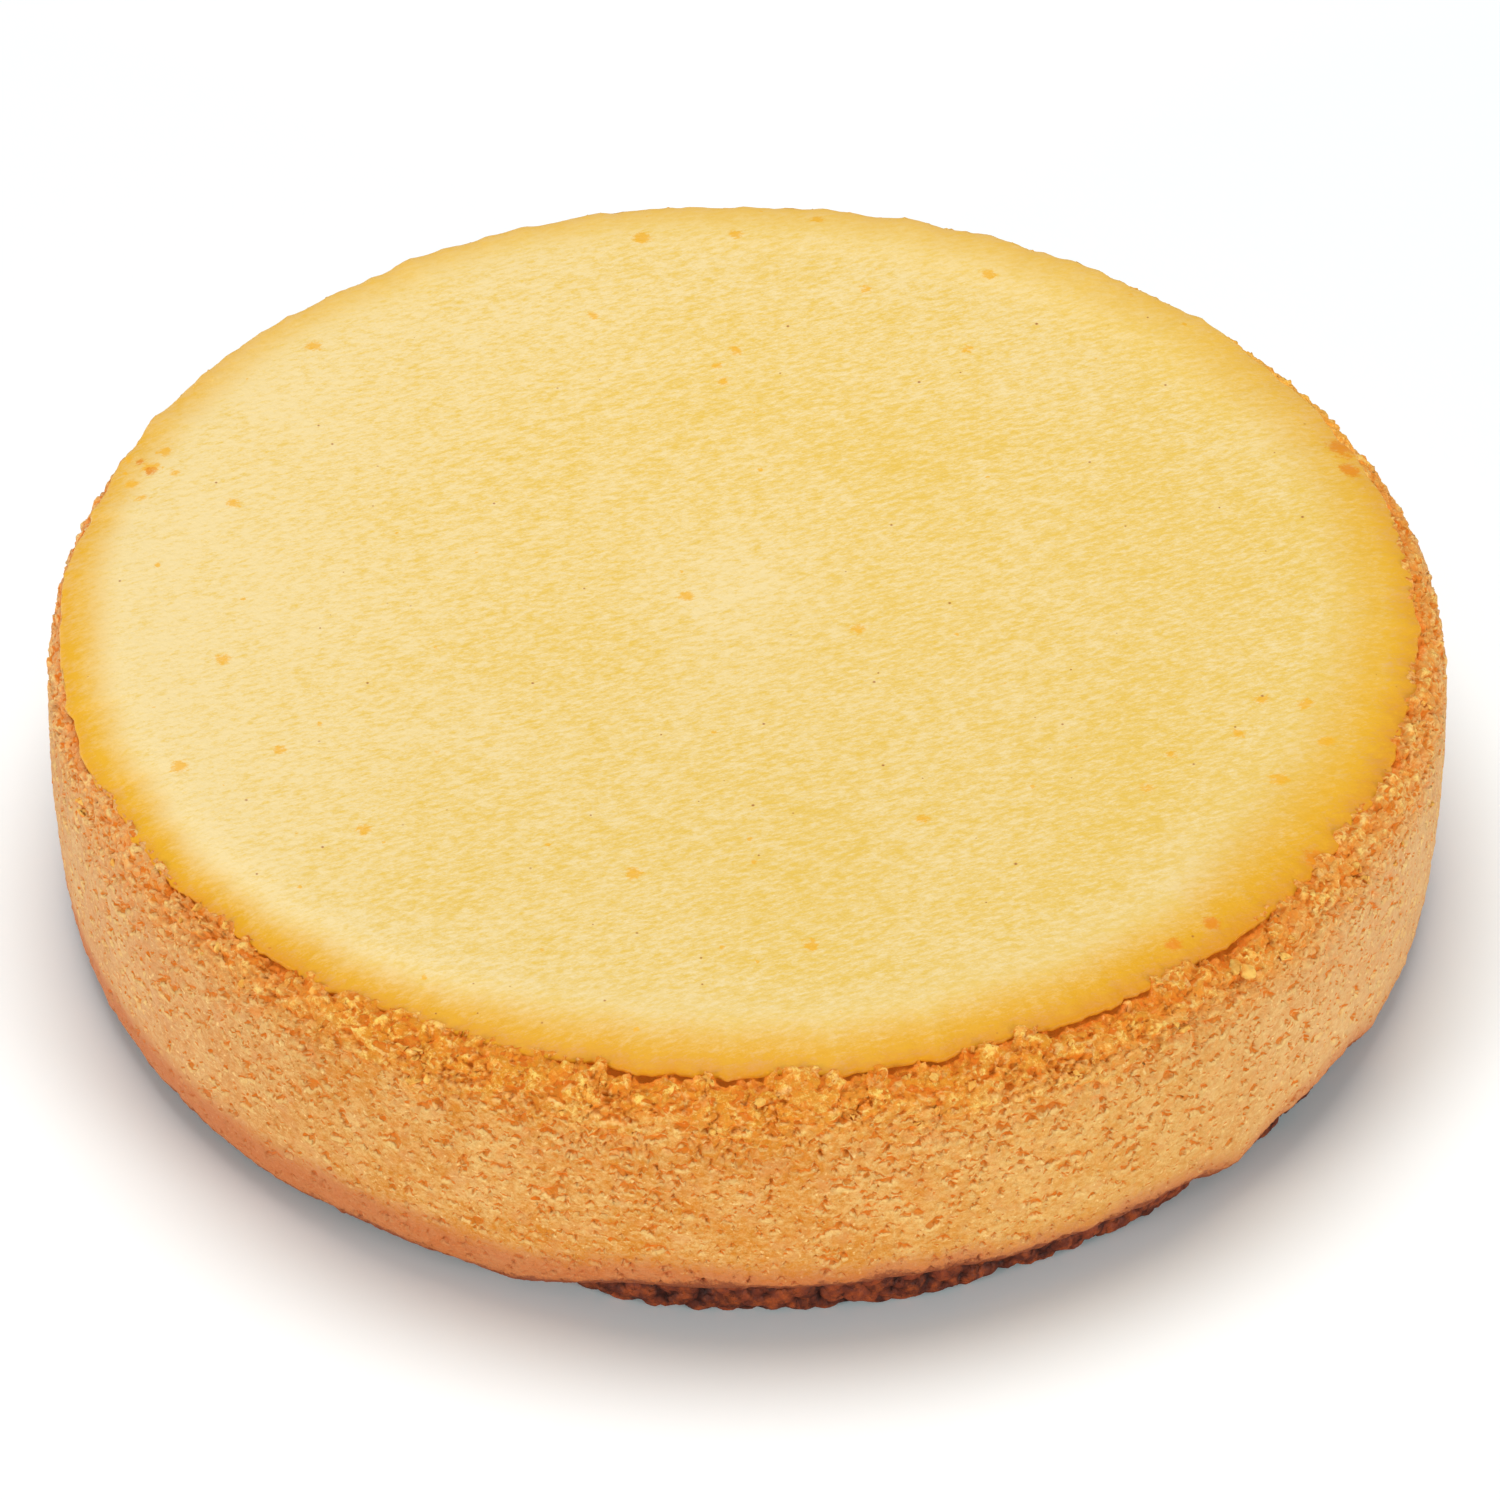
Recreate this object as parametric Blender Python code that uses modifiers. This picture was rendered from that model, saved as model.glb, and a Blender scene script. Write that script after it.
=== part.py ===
"""A whole pumpkin cheesecake: a baked filling on a thin base of pressed crumbs.

Both layers are turned profiles whose skin, torn rim, crumbly shoulder and ragged
lower edge are then roughened by a fixed rule. Metres, +Z up, and the origin is
the middle of the face that the cake stands on.
"""
import math

import bpy
from mathutils import Vector, noise

MM = 0.001

# Driving dimensions
CAKE_RADIUS = 114.5 * MM
CAKE_HEIGHT = 50.8 * MM
CREST_RADIUS = 96.0 * MM
SKIN_RADIUS = 109.1 * MM
DISH_DEPTH = 1.4 * MM
SKIN_DROP = 2.0 * MM
TEAR_WIDTH = 0.8 * MM
SHOULDER_TOP = 47.6 * MM
SHOULDER_FOOT = 41.5 * MM
WALL_FOOT = 9.5 * MM
BULGE_HEIGHT = 30.0 * MM
BULGE = 1.0 * MM
SKIRT_EDGE_HEIGHT = 1.3 * MM
SKIRT_EDGE_WIDTH = 1.2 * MM
BASE_RADIUS = 107.0 * MM
BASE_THICKNESS = 7.0 * MM
LAYER_GAP = 0.3 * MM

# The baked skin is slightly oval and sits a little to one side of the wall
SKIN_SHIFT = (-1.3 * MM, 1.35 * MM)
SKIN_OVAL = 1.5 * MM

# Where the filling stops short and the crumb base shows: the middle and half
# width of the stretch in degrees, and its share of the full height
BARE_STRETCHES = (
    (-85, 19, 1.0),
    (-59, 11, 0.75),
    (-36, 8, 0.75),
    (-120, 9, 0.15),
    (24, 8, 0.4),
    (76, 16, 0.85),
    (131, 10, 0.45),
    (172, 7, 0.3),
)
BARE_RISE = 5.3 * MM
BARE_REACH = 3.4 * MM
# A stretch is bare out to the first of these shares of its half width, and
# ends at the second
BARE_FULL = 0.6
BARE_END = 1.3

# Rounding of the crumb base's edge, and where its upright part has rings
BASE_TOP_EDGE = 0.7 * MM
BASE_FOOT_EDGE = 0.8 * MM
BASE_EDGE_LEVELS = (0.78, 0.5, 0.22)

# Relief: depth or height, then the size of its patches
SKIN_SWELL = 0.25 * MM
SKIN_SWELL_SIZE = 45.0 * MM
SKIN_RAGGED = 1.1 * MM
SKIN_RAGGED_SIZE = 7.0 * MM
TEAR_DEPTH = 1.5 * MM
TEAR_SIZE = 16.0 * MM
SHOULDER_LUMP = 1.0 * MM
SHOULDER_LUMP_SIZE = 4.2 * MM
WALL_LUMP = 0.3 * MM
WALL_LUMP_SIZE = 6.0 * MM
WALL_SWELL = 0.5 * MM
WALL_SWELL_SIZE = 38.0 * MM
SKIRT_RAGGED = 0.5 * MM
SKIRT_RAGGED_SIZE = 5.0 * MM
BASE_LUMP = 1.1 * MM
BASE_LUMP_SIZE = 5.0 * MM

# Lumps stand out this much on a level face, and fully on an upright one
LEVEL_LUMPS = 0.35
# Swells of the wall run on up it, over heights shortened to this share
SWELL_RUN = 0.3
# The crevice opens where its noise rises from minus this to plus this
TEAR_ONSET = 0.35
# The skin's sideways offset sets in at this share of its radius
OFFSET_START = 0.4

# The crumbs fade out over this height at the top of the wall
CRUMBS_LOW = SHOULDER_FOOT - 6.0 * MM
CRUMBS_HIGH = SHOULDER_FOOT + 3.0 * MM

# Each pattern reads its own layer of the noise, this far from the next
LAYER_STEP = 17.0
TEAR_LAYER = 1
SKIN_RAGGED_LAYER = 2
SKIN_SWELL_LAYER = 3
SHOULDER_LAYER = 4
WALL_LAYER = 5
WALL_SWELL_LAYER = 6
SKIRT_LAYER = 7
BASE_LAYER = 8

# Facets
SEGMENTS = 220
SKIN_RINGS = 6
SHOULDER_RINGS = 5
WALL_RINGS = 7
SKIRT_RINGS = 3
RING_CROWDING = 2.2
SMOOTH_ANGLE = math.radians(40.0)
MERGE_DISTANCE = 0.01 * MM
RING_TOLERANCE = 0.1 * MM

FILLING_COLOUR = (0.78, 0.47, 0.14)
CRUMB_COLOUR = (0.20, 0.04, 0.015)
FILLING_ROUGHNESS = 0.55
CRUMB_ROUGHNESS = 0.8

TINY = 1e-6


def smooth_step(low, high, value):
    """Rise smoothly from 0 at low to 1 at high."""
    share = min(max((value - low) / (high - low), 0.0), 1.0)
    return share * share * (3.0 - 2.0 * share)


def clear_scene():
    for item in list(bpy.data.objects):
        bpy.data.objects.remove(item, do_unlink=True)


def food_material(name, colour, roughness):
    material = bpy.data.materials.new(name)
    material.use_nodes = True
    shader = material.node_tree.nodes["Principled BSDF"]
    shader.inputs["Base Color"].default_value = (*colour, 1.0)
    shader.inputs["Roughness"].default_value = roughness
    shader.inputs["Metallic"].default_value = 0.0
    return material


def turned_mesh(name, profile):
    """Turn a profile of (radius, height) points, listed from the top, about Z."""
    outline = bpy.data.meshes.new(name + "_outline")
    points = [(radius, 0.0, height) for radius, height in profile]
    edges = [(index, index + 1) for index in range(len(points) - 1)]
    outline.from_pydata(points, edges, [])
    turned = bpy.data.objects.new(name + "_turned", outline)
    bpy.context.scene.collection.objects.link(turned)

    screw = turned.modifiers.new("Turn", "SCREW")
    screw.axis = "Z"
    screw.angle = math.tau
    screw.steps = SEGMENTS
    screw.render_steps = SEGMENTS
    screw.use_merge_vertices = True
    screw.merge_threshold = MERGE_DISTANCE

    evaluated = turned.evaluated_get(bpy.context.evaluated_depsgraph_get())
    mesh = bpy.data.meshes.new_from_object(evaluated)
    mesh.name = name
    bpy.data.objects.remove(turned, do_unlink=True)
    return mesh


def skin_height(radius):
    """The top sags a little in the middle and rolls down past its crest."""
    if radius < CREST_RADIUS:
        return CAKE_HEIGHT - DISH_DEPTH * (1.0 - smooth_step(0.0, CREST_RADIUS, radius))
    roll = (radius - CREST_RADIUS) / (SKIN_RADIUS - CREST_RADIUS)
    return CAKE_HEIGHT - SKIN_DROP * roll * roll


def wall_radius(height):
    """The wall bulges slightly, widest somewhat above half its height."""
    offset = (height - BULGE_HEIGHT) / (BULGE_HEIGHT - WALL_FOOT)
    return CAKE_RADIUS - BULGE * offset * offset


def skin_profile():
    """From the middle out, with the rings closer together towards the edge."""
    points = []
    for ring in range(SKIN_RINGS + 1):
        share = ring / SKIN_RINGS
        radius = SKIN_RADIUS * (1.0 - (1.0 - share) ** RING_CROWDING)
        points.append((radius, skin_height(radius)))
    return points


def shoulder_profile():
    """A quarter turn from the torn edge of the skin down to the wall."""
    inner = SKIN_RADIUS + TEAR_WIDTH
    outer = wall_radius(SHOULDER_FOOT)
    points = []
    for ring in range(SHOULDER_RINGS + 1):
        turn = math.radians(90.0 * ring / SHOULDER_RINGS)
        radius = inner + (outer - inner) * math.sin(turn)
        height = SHOULDER_FOOT + (SHOULDER_TOP - SHOULDER_FOOT) * math.cos(turn)
        points.append((radius, height))
    return points


def wall_profile():
    points = []
    for ring in range(1, WALL_RINGS + 1):
        height = SHOULDER_FOOT + (WALL_FOOT - SHOULDER_FOOT) * ring / WALL_RINGS
        points.append((wall_radius(height), height))
    return points


def skirt_profile():
    """The wall curls in below its foot to a narrow edge round the crumb base."""
    outer = wall_radius(WALL_FOOT)
    inner = BASE_RADIUS + LAYER_GAP + SKIRT_EDGE_WIDTH
    points = []
    for ring in range(1, SKIRT_RINGS + 1):
        turn = math.radians(90.0 * ring / SKIRT_RINGS)
        radius = inner + (outer - inner) * math.cos(turn)
        height = WALL_FOOT + (SKIRT_EDGE_HEIGHT - WALL_FOOT) * math.sin(turn)
        points.append((radius, height))
    return points


def recess_profile():
    radius = BASE_RADIUS + LAYER_GAP
    ceiling = BASE_THICKNESS + LAYER_GAP
    return [
        (radius, SKIRT_EDGE_HEIGHT),
        (radius, ceiling),
        (radius * 0.5, ceiling),
        (0.0, ceiling),
    ]


def bareness(angle):
    """How much of its full height the crumb base shows at this angle, 0 to 1."""
    most = 0.0
    for middle, half_width, share in BARE_STRETCHES:
        offset = abs((math.degrees(angle) - middle + 180.0) % 360.0 - 180.0)
        shut = smooth_step(BARE_FULL * half_width, BARE_END * half_width, offset)
        most = max(most, share * (1.0 - shut))
    return most


def base_reach(angle):
    return BASE_RADIUS + BARE_REACH * bareness(angle)


def grain(point, size, layer):
    """Soft noise from -1 to 1 in lumps of this size; each layer differs."""
    return noise.noise(Vector(point) / size + Vector((0.0, 0.0, LAYER_STEP * layer)))


def crumbs(point, size, layer):
    """Rounded lumps set side by side, from about -1 between them to 1 on top."""
    distances, _ = noise.voronoi(Vector(point) / size + Vector((0.0, 0.0, LAYER_STEP * layer)))
    return 1.0 - 2.0 * distances[0]


def tear_depth(point):
    """The crevice beside the skin comes and goes along the rim."""
    open_share = smooth_step(-TEAR_ONSET, TEAR_ONSET, grain(point, TEAR_SIZE, TEAR_LAYER))
    return TEAR_DEPTH * open_share


def skin_offset(angle):
    """How far the skin's edge lies outside its mean radius at this angle."""
    along = SKIN_SHIFT[0] * math.cos(angle) + SKIN_SHIFT[1] * math.sin(angle)
    return along + SKIN_OVAL * math.cos(2.0 * angle)


def roughen_skin(point):
    """Slow hollows in the smooth top and a ragged outer edge."""
    swell = SKIN_SWELL * (grain(point, SKIN_SWELL_SIZE, SKIN_SWELL_LAYER) - 1.0)
    radius = math.hypot(point.x, point.y)
    if radius < TINY:
        return Vector((point.x, point.y, point.z + swell))
    angle = math.atan2(point.y, point.x)
    ragged = SKIN_RAGGED * grain(point, SKIN_RAGGED_SIZE, SKIN_RAGGED_LAYER)
    ragged *= smooth_step(CREST_RADIUS, SKIN_RADIUS, radius)
    offset = smooth_step(OFFSET_START * SKIN_RADIUS, SKIN_RADIUS, radius) * skin_offset(angle)
    reach = (radius + ragged + offset) / radius
    return Vector((point.x * reach, point.y * reach, point.z + swell))


def roughen_side(point):
    """Crumbly lumps on the shoulder, which fade to a soft grain down the wall."""
    radius = math.hypot(point.x, point.y)
    angle = math.atan2(point.y, point.x)
    height = point.z
    crumbly = smooth_step(CRUMBS_LOW, CRUMBS_HIGH, height)
    upright = smooth_step(SHOULDER_TOP, SHOULDER_FOOT, height)
    lump = SHOULDER_LUMP * crumbly * crumbs(point, SHOULDER_LUMP_SIZE, SHOULDER_LAYER)
    lump += WALL_LUMP * crumbs(point, WALL_LUMP_SIZE, WALL_LAYER)
    swell_place = (point.x, point.y, SWELL_RUN * height)
    swell = WALL_SWELL * grain(swell_place, WALL_SWELL_SIZE, WALL_SWELL_LAYER)
    inward = 0.0
    if height > SHOULDER_FOOT:
        inward = smooth_step(wall_radius(SHOULDER_FOOT), SKIN_RADIUS, radius)
    outward = LEVEL_LUMPS + (1.0 - LEVEL_LUMPS) * upright
    new_radius = radius + inward * skin_offset(angle) + lump * outward + swell
    new_height = height + lump * (1.0 - upright)
    if height > SHOULDER_TOP - RING_TOLERANCE:
        new_height -= tear_depth(point)

    if height < WALL_FOOT:
        share = (WALL_FOOT - height) / (WALL_FOOT - SKIRT_EDGE_HEIGHT)
        ragged = SKIRT_RAGGED * grain(point, SKIRT_RAGGED_SIZE, SKIRT_LAYER)
        new_height = height + share * (BARE_RISE * bareness(angle) + ragged)
        settled = radius + share * share * (base_reach(angle) - BASE_RADIUS)
        new_radius += (settled - new_radius) * share
    reach = new_radius / radius
    return Vector((point.x * reach, point.y * reach, new_height))


def fit_recess(point):
    """The recess follows the crumb base with an even gap."""
    radius = math.hypot(point.x, point.y)
    if radius < BASE_RADIUS:
        return point
    angle = math.atan2(point.y, point.x)
    reach = (base_reach(angle) + LAYER_GAP) / radius
    height = point.z
    if height < BASE_THICKNESS:
        ragged = SKIRT_RAGGED * grain(point, SKIRT_RAGGED_SIZE, SKIRT_LAYER)
        height += BARE_RISE * bareness(angle) + ragged
    return Vector((point.x * reach, point.y * reach, height))


def roughen_filling(point):
    radius = math.hypot(point.x, point.y)
    if radius < BASE_RADIUS + LAYER_GAP + TINY and point.z < BASE_THICKNESS + LAYER_GAP + TINY:
        return fit_recess(point)
    if radius < SKIN_RADIUS + TINY and point.z > SHOULDER_FOOT:
        return roughen_skin(point)
    return roughen_side(point)


def base_profile():
    """A pressed disc with a slightly rounded edge."""
    return [
        (0.0, BASE_THICKNESS),
        (BASE_RADIUS - BASE_TOP_EDGE, BASE_THICKNESS),
        (BASE_RADIUS, BASE_THICKNESS * BASE_EDGE_LEVELS[0]),
        (BASE_RADIUS, BASE_THICKNESS * BASE_EDGE_LEVELS[1]),
        (BASE_RADIUS, BASE_THICKNESS * BASE_EDGE_LEVELS[2]),
        (BASE_RADIUS - BASE_FOOT_EDGE, 0.0),
        (0.0, 0.0),
    ]


def roughen_base(point):
    """Lumps are pressed back from the outline, so the gap to the filling holds."""
    radius = math.hypot(point.x, point.y)
    if radius < TINY:
        return point
    angle = math.atan2(point.y, point.x)
    pressed = BASE_LUMP * (0.5 - 0.5 * crumbs(point, BASE_LUMP_SIZE, BASE_LAYER))
    reach = (radius + base_reach(angle) - BASE_RADIUS - min(pressed, BASE_LUMP)) / radius
    return Vector((point.x * reach, point.y * reach, point.z))


def add_layer(name, profile, roughen, material, collection):
    mesh = turned_mesh(name, profile)
    for vertex in mesh.vertices:
        vertex.co = roughen(vertex.co.copy())
    mesh.materials.clear()
    mesh.materials.append(material)
    mesh.shade_smooth()
    mesh.set_sharp_from_angle(angle=SMOOTH_ANGLE)
    layer = bpy.data.objects.new(name, mesh)
    collection.objects.link(layer)
    return layer


def centre_on_footprint(layers):
    """The relief is uneven, so the whole cake is moved back over the origin."""
    for axis in (0, 1):
        places = [vertex.co[axis] for layer in layers for vertex in layer.data.vertices]
        middle = 0.5 * (min(places) + max(places))
        for layer in layers:
            for vertex in layer.data.vertices:
                vertex.co[axis] -= middle


def build():
    clear_scene()
    collection = bpy.data.collections.new("pumpkin_cheesecake")
    bpy.context.scene.collection.children.link(collection)

    filling_profile = (
        skin_profile() + shoulder_profile() + wall_profile() + skirt_profile() + recess_profile()
    )
    filling = add_layer(
        "filling",
        filling_profile,
        roughen_filling,
        food_material("baked_filling", FILLING_COLOUR, FILLING_ROUGHNESS),
        collection,
    )
    base = add_layer(
        "crumb_base",
        base_profile(),
        roughen_base,
        food_material("pressed_crumbs", CRUMB_COLOUR, CRUMB_ROUGHNESS),
        collection,
    )
    centre_on_footprint([filling, base])


build()
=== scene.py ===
"""The looks of a whole pumpkin cheesecake.

The filling is dressed with two closed pieces, its smooth baked skin and the
crumbly body below it, and the thin crumb base with a third. Loose crumbs lie
along the torn rim. The patterns are worked out in millimetres, and on the
cake and its base from the place of a point before its surface was roughened,
so that dents, lumps and colours agree.
"""
import math

import bpy
import numpy as np
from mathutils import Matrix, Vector, noise


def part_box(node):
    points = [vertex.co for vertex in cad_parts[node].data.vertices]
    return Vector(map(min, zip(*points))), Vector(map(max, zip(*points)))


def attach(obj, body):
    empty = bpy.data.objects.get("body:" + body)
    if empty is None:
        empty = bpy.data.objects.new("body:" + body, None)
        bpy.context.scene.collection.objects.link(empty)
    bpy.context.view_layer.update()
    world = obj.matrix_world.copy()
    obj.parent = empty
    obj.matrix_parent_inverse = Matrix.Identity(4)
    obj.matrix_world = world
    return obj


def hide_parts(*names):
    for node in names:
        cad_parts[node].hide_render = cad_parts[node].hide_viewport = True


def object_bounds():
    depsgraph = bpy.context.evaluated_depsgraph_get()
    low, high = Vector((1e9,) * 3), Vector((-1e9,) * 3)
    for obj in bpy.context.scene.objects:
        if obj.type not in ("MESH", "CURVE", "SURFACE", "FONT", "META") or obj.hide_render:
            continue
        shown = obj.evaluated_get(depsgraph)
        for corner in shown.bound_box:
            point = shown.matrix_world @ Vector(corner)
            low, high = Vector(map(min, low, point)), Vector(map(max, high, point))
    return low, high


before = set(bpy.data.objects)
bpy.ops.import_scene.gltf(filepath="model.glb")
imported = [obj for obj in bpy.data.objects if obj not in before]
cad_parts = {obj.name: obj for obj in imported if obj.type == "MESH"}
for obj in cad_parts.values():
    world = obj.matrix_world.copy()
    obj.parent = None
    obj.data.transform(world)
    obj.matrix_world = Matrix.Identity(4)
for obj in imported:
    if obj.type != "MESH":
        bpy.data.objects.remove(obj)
cad_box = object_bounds()

MM = 0.001

# Sizes read from the solids, in millimetres
filling_low, filling_high = (corner / MM for corner in map(Vector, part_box("filling")))
base_high = Vector(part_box("crumb_base")[1]) / MM
WALL_RADIUS = 0.25 * (filling_high.x - filling_low.x + filling_high.y - filling_low.y) - 0.1
CAKE_HEIGHT = filling_high.z
BASE_THICKNESS = base_high.z

# Section of the cake, in millimetres
CREST_RADIUS = 96.0
SKIN_RADIUS = 109.1
DISH_DEPTH = 1.4
SKIN_DROP = 2.0
SKIN_THICKNESS = 2.4
SKIN_SHIFT = (-1.3, 1.35)
SKIN_OVAL = 1.5
TEAR_WIDTH = 0.8
TEAR_DEPTH = 1.3
LEAST_TEAR = 0.1
GUTTER_WIDTH = 4.0
GUTTER_SPAN = 4.2
GUTTER_DEPTH = 2.0
BODY_TOP_SHARE = 0.6
SHOULDER_GAP = 0.25
SHOULDER_TOP = 47.6
CLOSED_RISE = 1.2
SMOOTH_DROP = 2.0
BACK_DROP = 1.2
SHOULDER_FOOT = 41.5
WALL_FOOT = 9.5
BULGE_HEIGHT = 30.0
BULGE = 1.0
SKIRT_EDGE_HEIGHT = 1.3
SKIRT_EDGE_WIDTH = 1.2
LIP_RAGGEDNESS = 0.6
BASE_RADIUS = 107.0
BASE_SWELL = 0.2
BASE_ROUNDING = 0.7
LAYER_GAP = 0.3

# How the skin turns under at its torn edge: steps outwards and down
SKIN_UNDERSIDE = (
    (0.22, 0.3), (0.28, 0.65), (0.05, 1.0), (-0.6, 1.3), (-1.6, 1.6), (-3.0, SKIN_THICKNESS),
)
SKIN_FLOOR_SHARES = (0.8, 0.4)

# Where the gutter under that edge is closed: share of its span, and height
# over the rim
GUTTER_LIFTS = ((0.35, -0.9), (0.6, 0.1), (0.8, 0.35), (1.0, 0.3))

# Stretches where the crumb base shows: middle and half width in degrees, and
# the share of the full height
BARE_STRETCHES = (
    (-85, 19, 1.0),
    (-59, 11, 0.75),
    (-36, 8, 0.75),
    (-120, 9, 0.15),
    (24, 8, 0.4),
    (76, 16, 0.85),
    (131, 10, 0.45),
    (172, 7, 0.3),
)
BARE_RISE = 5.3
BARE_REACH = 3.4
STAIN_HEIGHT = 4.5

# Ragged lines round the cake: depth and patch size in millimetres, and the
# layer of the noise
EDGE_TEARS = ((0.9, 9.0, 1), (0.6, 3.2, 2))
FINE_TEARS = ((0.45, 1.3, 3),)
OPEN_TEARS = ((1.0, 11.0, 4), (0.6, 3.5, 5))
RAGGED_FOOT = ((0.5, 5.0, 7), (0.4, 1.8, 8), (0.3, 0.9, 9))
BROWNING_WANDER = ((1.6, 24.0, 11),)

# Lobes round the cake: height, and middle and half width in degrees
TEAR_LOBES = ((0.45, -47.0, 22.0), (0.3, -90.0, 12.0))
CRAG_LOBE = ((1.0, -72.0, 130.0),)
BROWNING_LOBES = ((7.0, -20.0, 70.0), (4.0, 40.0, 50.0), (2.5, -95.0, 50.0))
BROWNING_WIDTH = 6.5
BROWNING_MEASURE = 10.0
FAR_INSIDE = 20.0

# Measure down the side that the patterns read, at the start of each stretch
SHOULDER_START = 1.0
WALL_START = 9.0
SKIRT_START = 39.0
LIP_START = 49.0

# Spots on the skin: place to the right and to the back, and size, in millimetres
YELLOW_SPOTS = (
    (-18, 98, 1.5), (-2, 99, 1.1), (12, 104, 1.1), (-26, 77, 0.9), (-2, 68, 1.0), (-5, 64, 0.8),
    (-4, 60, 0.9), (-73, 69, 1.3), (-85, 28, 1.1), (-85, -11, 1.2), (-91, -37, 1.3), (-75, -33, 1.0),
    (-61, -52, 1.2), (-18, -62, 1.3), (10, -79, 1.2), (28, -49, 1.0), (18, -2, 1.1), (-10, 6, 1.2),
    (83, -21, 1.1), (90, -22, 1.2), (79, -29, 1.0), (93, -31, 1.3), (85, -40, 1.4), (64, -42, 1.0),
    (68, -34, 0.9), (41, 88, 1.2), (37, 68, 0.9), (-99, 38, 1.5), (-102, 34, 1.1), (-97, 42, 1.2),
    (-103, 41, 1.0), (-95, 36, 0.8), (-100, 30, 0.9), (60, 96, 1.4), (63, 94, 1.0), (20, 84, 0.9),
)
BROWN_SPOTS = (
    (67, -78, 1.2), (73, -73, 1.3), (90, -57, 1.6), (99, 44, 2.2), (100, 38, 1.6),
    (-99, 37, 1.0), (-101, 40, 0.8),
)
# Pale patches on the skin; the one at the right back is painted sheen
PALE_AND_SHEEN_SPOTS = ((90, 46, 7.0), (-2, 8, 9.0), (70, -66, 5.0))
SPOT_SOFTNESS = 1.3

# Clusters of crumbs beside the skin: angle in degrees, height and spread in millimetres
CLUSTER_RADIUS = 112.0
CRUMB_CLUSTERS = (
    (-161, 43.5, 1.6), (-153, 46.0, 1.4), (-141, 47.0, 1.8), (-128, 46.5, 1.6), (-117, 46.0, 1.4),
    (-103, 47.0, 1.6), (-90, 47.5, 2.0), (-84, 45.0, 1.4), (-74, 46.5, 1.6), (-63, 46.0, 2.0),
    (-52, 45.0, 1.6), (-41, 46.0, 1.8), (-30, 44.5, 1.4), (-22, 43.0, 1.6), (-15, 42.0, 1.3),
    (144, 47.0, 1.8), (124, 47.0, 1.0), (107, 47.0, 1.2), (99, 47.0, 0.9), (84, 47.0, 1.2),
)
CLUSTER_SPREAD = 2.2
LOOSE_SHARE = 0.07

# Relief that the trees give the pieces, in millimetres, and the loose crumbs
RELIEF_SHARE = 1.0
LUMP_SIZE = 2.9
LUMP_DEPTH = 1.4
GRAIN_SIZE = 1.3
GRAIN_DEPTH = 0.35
CRUMBS_PER_SQUARE_METRE = 80000.0
SMALLEST_CRUMB = 0.45
LARGEST_CRUMB = 1.35
FLATTEST_CRUMB = (0.6, 0.5, 0.3)
LONGEST_CRUMB = (1.7, 1.2, 0.7)
CRUMB_RAGGEDNESS = 2.2
PLACE_SEED = 11
TURN_SEED = 5
SIZE_SEED = 8
STRETCH_SEED = 9

# Pits in the side: flattening, size in millimetres, onset of the noise at the
# top of the wall, and how much later it sets in at the foot
LARGE_PITS = (1.5, 2.6, 0.14, 0.1)
SMALL_PITS = (1.4, 1.5, 0.17, 0.08)
SMALL_PITS_SHIFT = (50.0, 0.0, 0.0)

# Streaks on the skin, drawn out to one side: angle, stretch and size
STREAK_ANGLE = -0.35
STREAK_STRETCH = (0.4, 1.0, 1.0)
STREAK_SIZE = 0.9
PATCH_SIZE = 4.5
BROAD_SIZE = 34.0

# Mesh fineness: segments round the cake, and steps in millimetres along a
# section. The skin's bands give where each starts and ends, and its step
BODY_SEGMENTS = 2000
SHOULDER_STEP = 0.36
BODY_STEP = 0.6
SHOULDER_LENGTH = 8.5
SKIN_SEGMENTS = 900
SKIN_BANDS = ((0.0, 50.0, 1.7), (50.0, CREST_RADIUS, 1.1), (CREST_RADIUS, SKIN_RADIUS, 0.6))
BASE_SEGMENTS = 900
BASE_RINGS = 16
BODY_TRIANGLES = 190000

# Camera
TARGET = Vector((0.43, 0.0, 20.95)) * MM
CAMERA_DISTANCE = 1.603
CAMERA_ELEVATION = math.radians(41.8)
LENS = 233.1
SENSOR = 36.0
CLIP_START = 0.01
CLIP_END = 50.0

# Lights, in metres and watts: name, place, width, depth and power
LIGHT_AIM = (0.0, 0.0, 0.03)
LIGHTS = (
    ("top_light", (-0.06, 0.34, 1.44), 1.15, 0.8, 17.6),
    ("left_light", (-1.2, -0.98, 0.24), 0.56, 0.56, 14.0),
    ("right_light", (1.2, -0.98, 0.24), 0.56, 0.56, 14.0),
)
WORLD_STRENGTH = 0.24
FLOOR_SIZE = 4.0
FLOOR_DROP = 0.0002
FLOOR_GREY = (0.92, 0.92, 0.92, 1.0)
FLOOR_GLOW = (0.18, 0.72, 0.78, 1.0)
FLOOR_GLOW_STRENGTH = 0.08


class Field:
    """A node's output that takes part in Python arithmetic."""

    def __init__(self, net, socket):
        self.net = net
        self.socket = socket

    def out(self, key):
        return Field(self.net, self.socket.node.outputs[key])

    def math(self, operation, *values):
        inputs = dict(enumerate((self, *values)))
        return self.net.node("ShaderNodeMath", {"operation": operation}, inputs)

    def __add__(self, other):
        return self.math("ADD", other)

    def __radd__(self, other):
        return self.math("ADD", other)

    def __sub__(self, other):
        return self.math("SUBTRACT", other)

    def __rsub__(self, other):
        return (self * -1.0) + other

    def __mul__(self, other):
        return self.math("MULTIPLY", other)

    def __rmul__(self, other):
        return self.math("MULTIPLY", other)

    def __truediv__(self, other):
        return self.math("DIVIDE", other)

    def __pow__(self, power):
        return self.math("POWER", power)

    def at_least(self, other):
        return self.math("MAXIMUM", other)

    def at_most(self, other):
        return self.math("MINIMUM", other)


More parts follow.
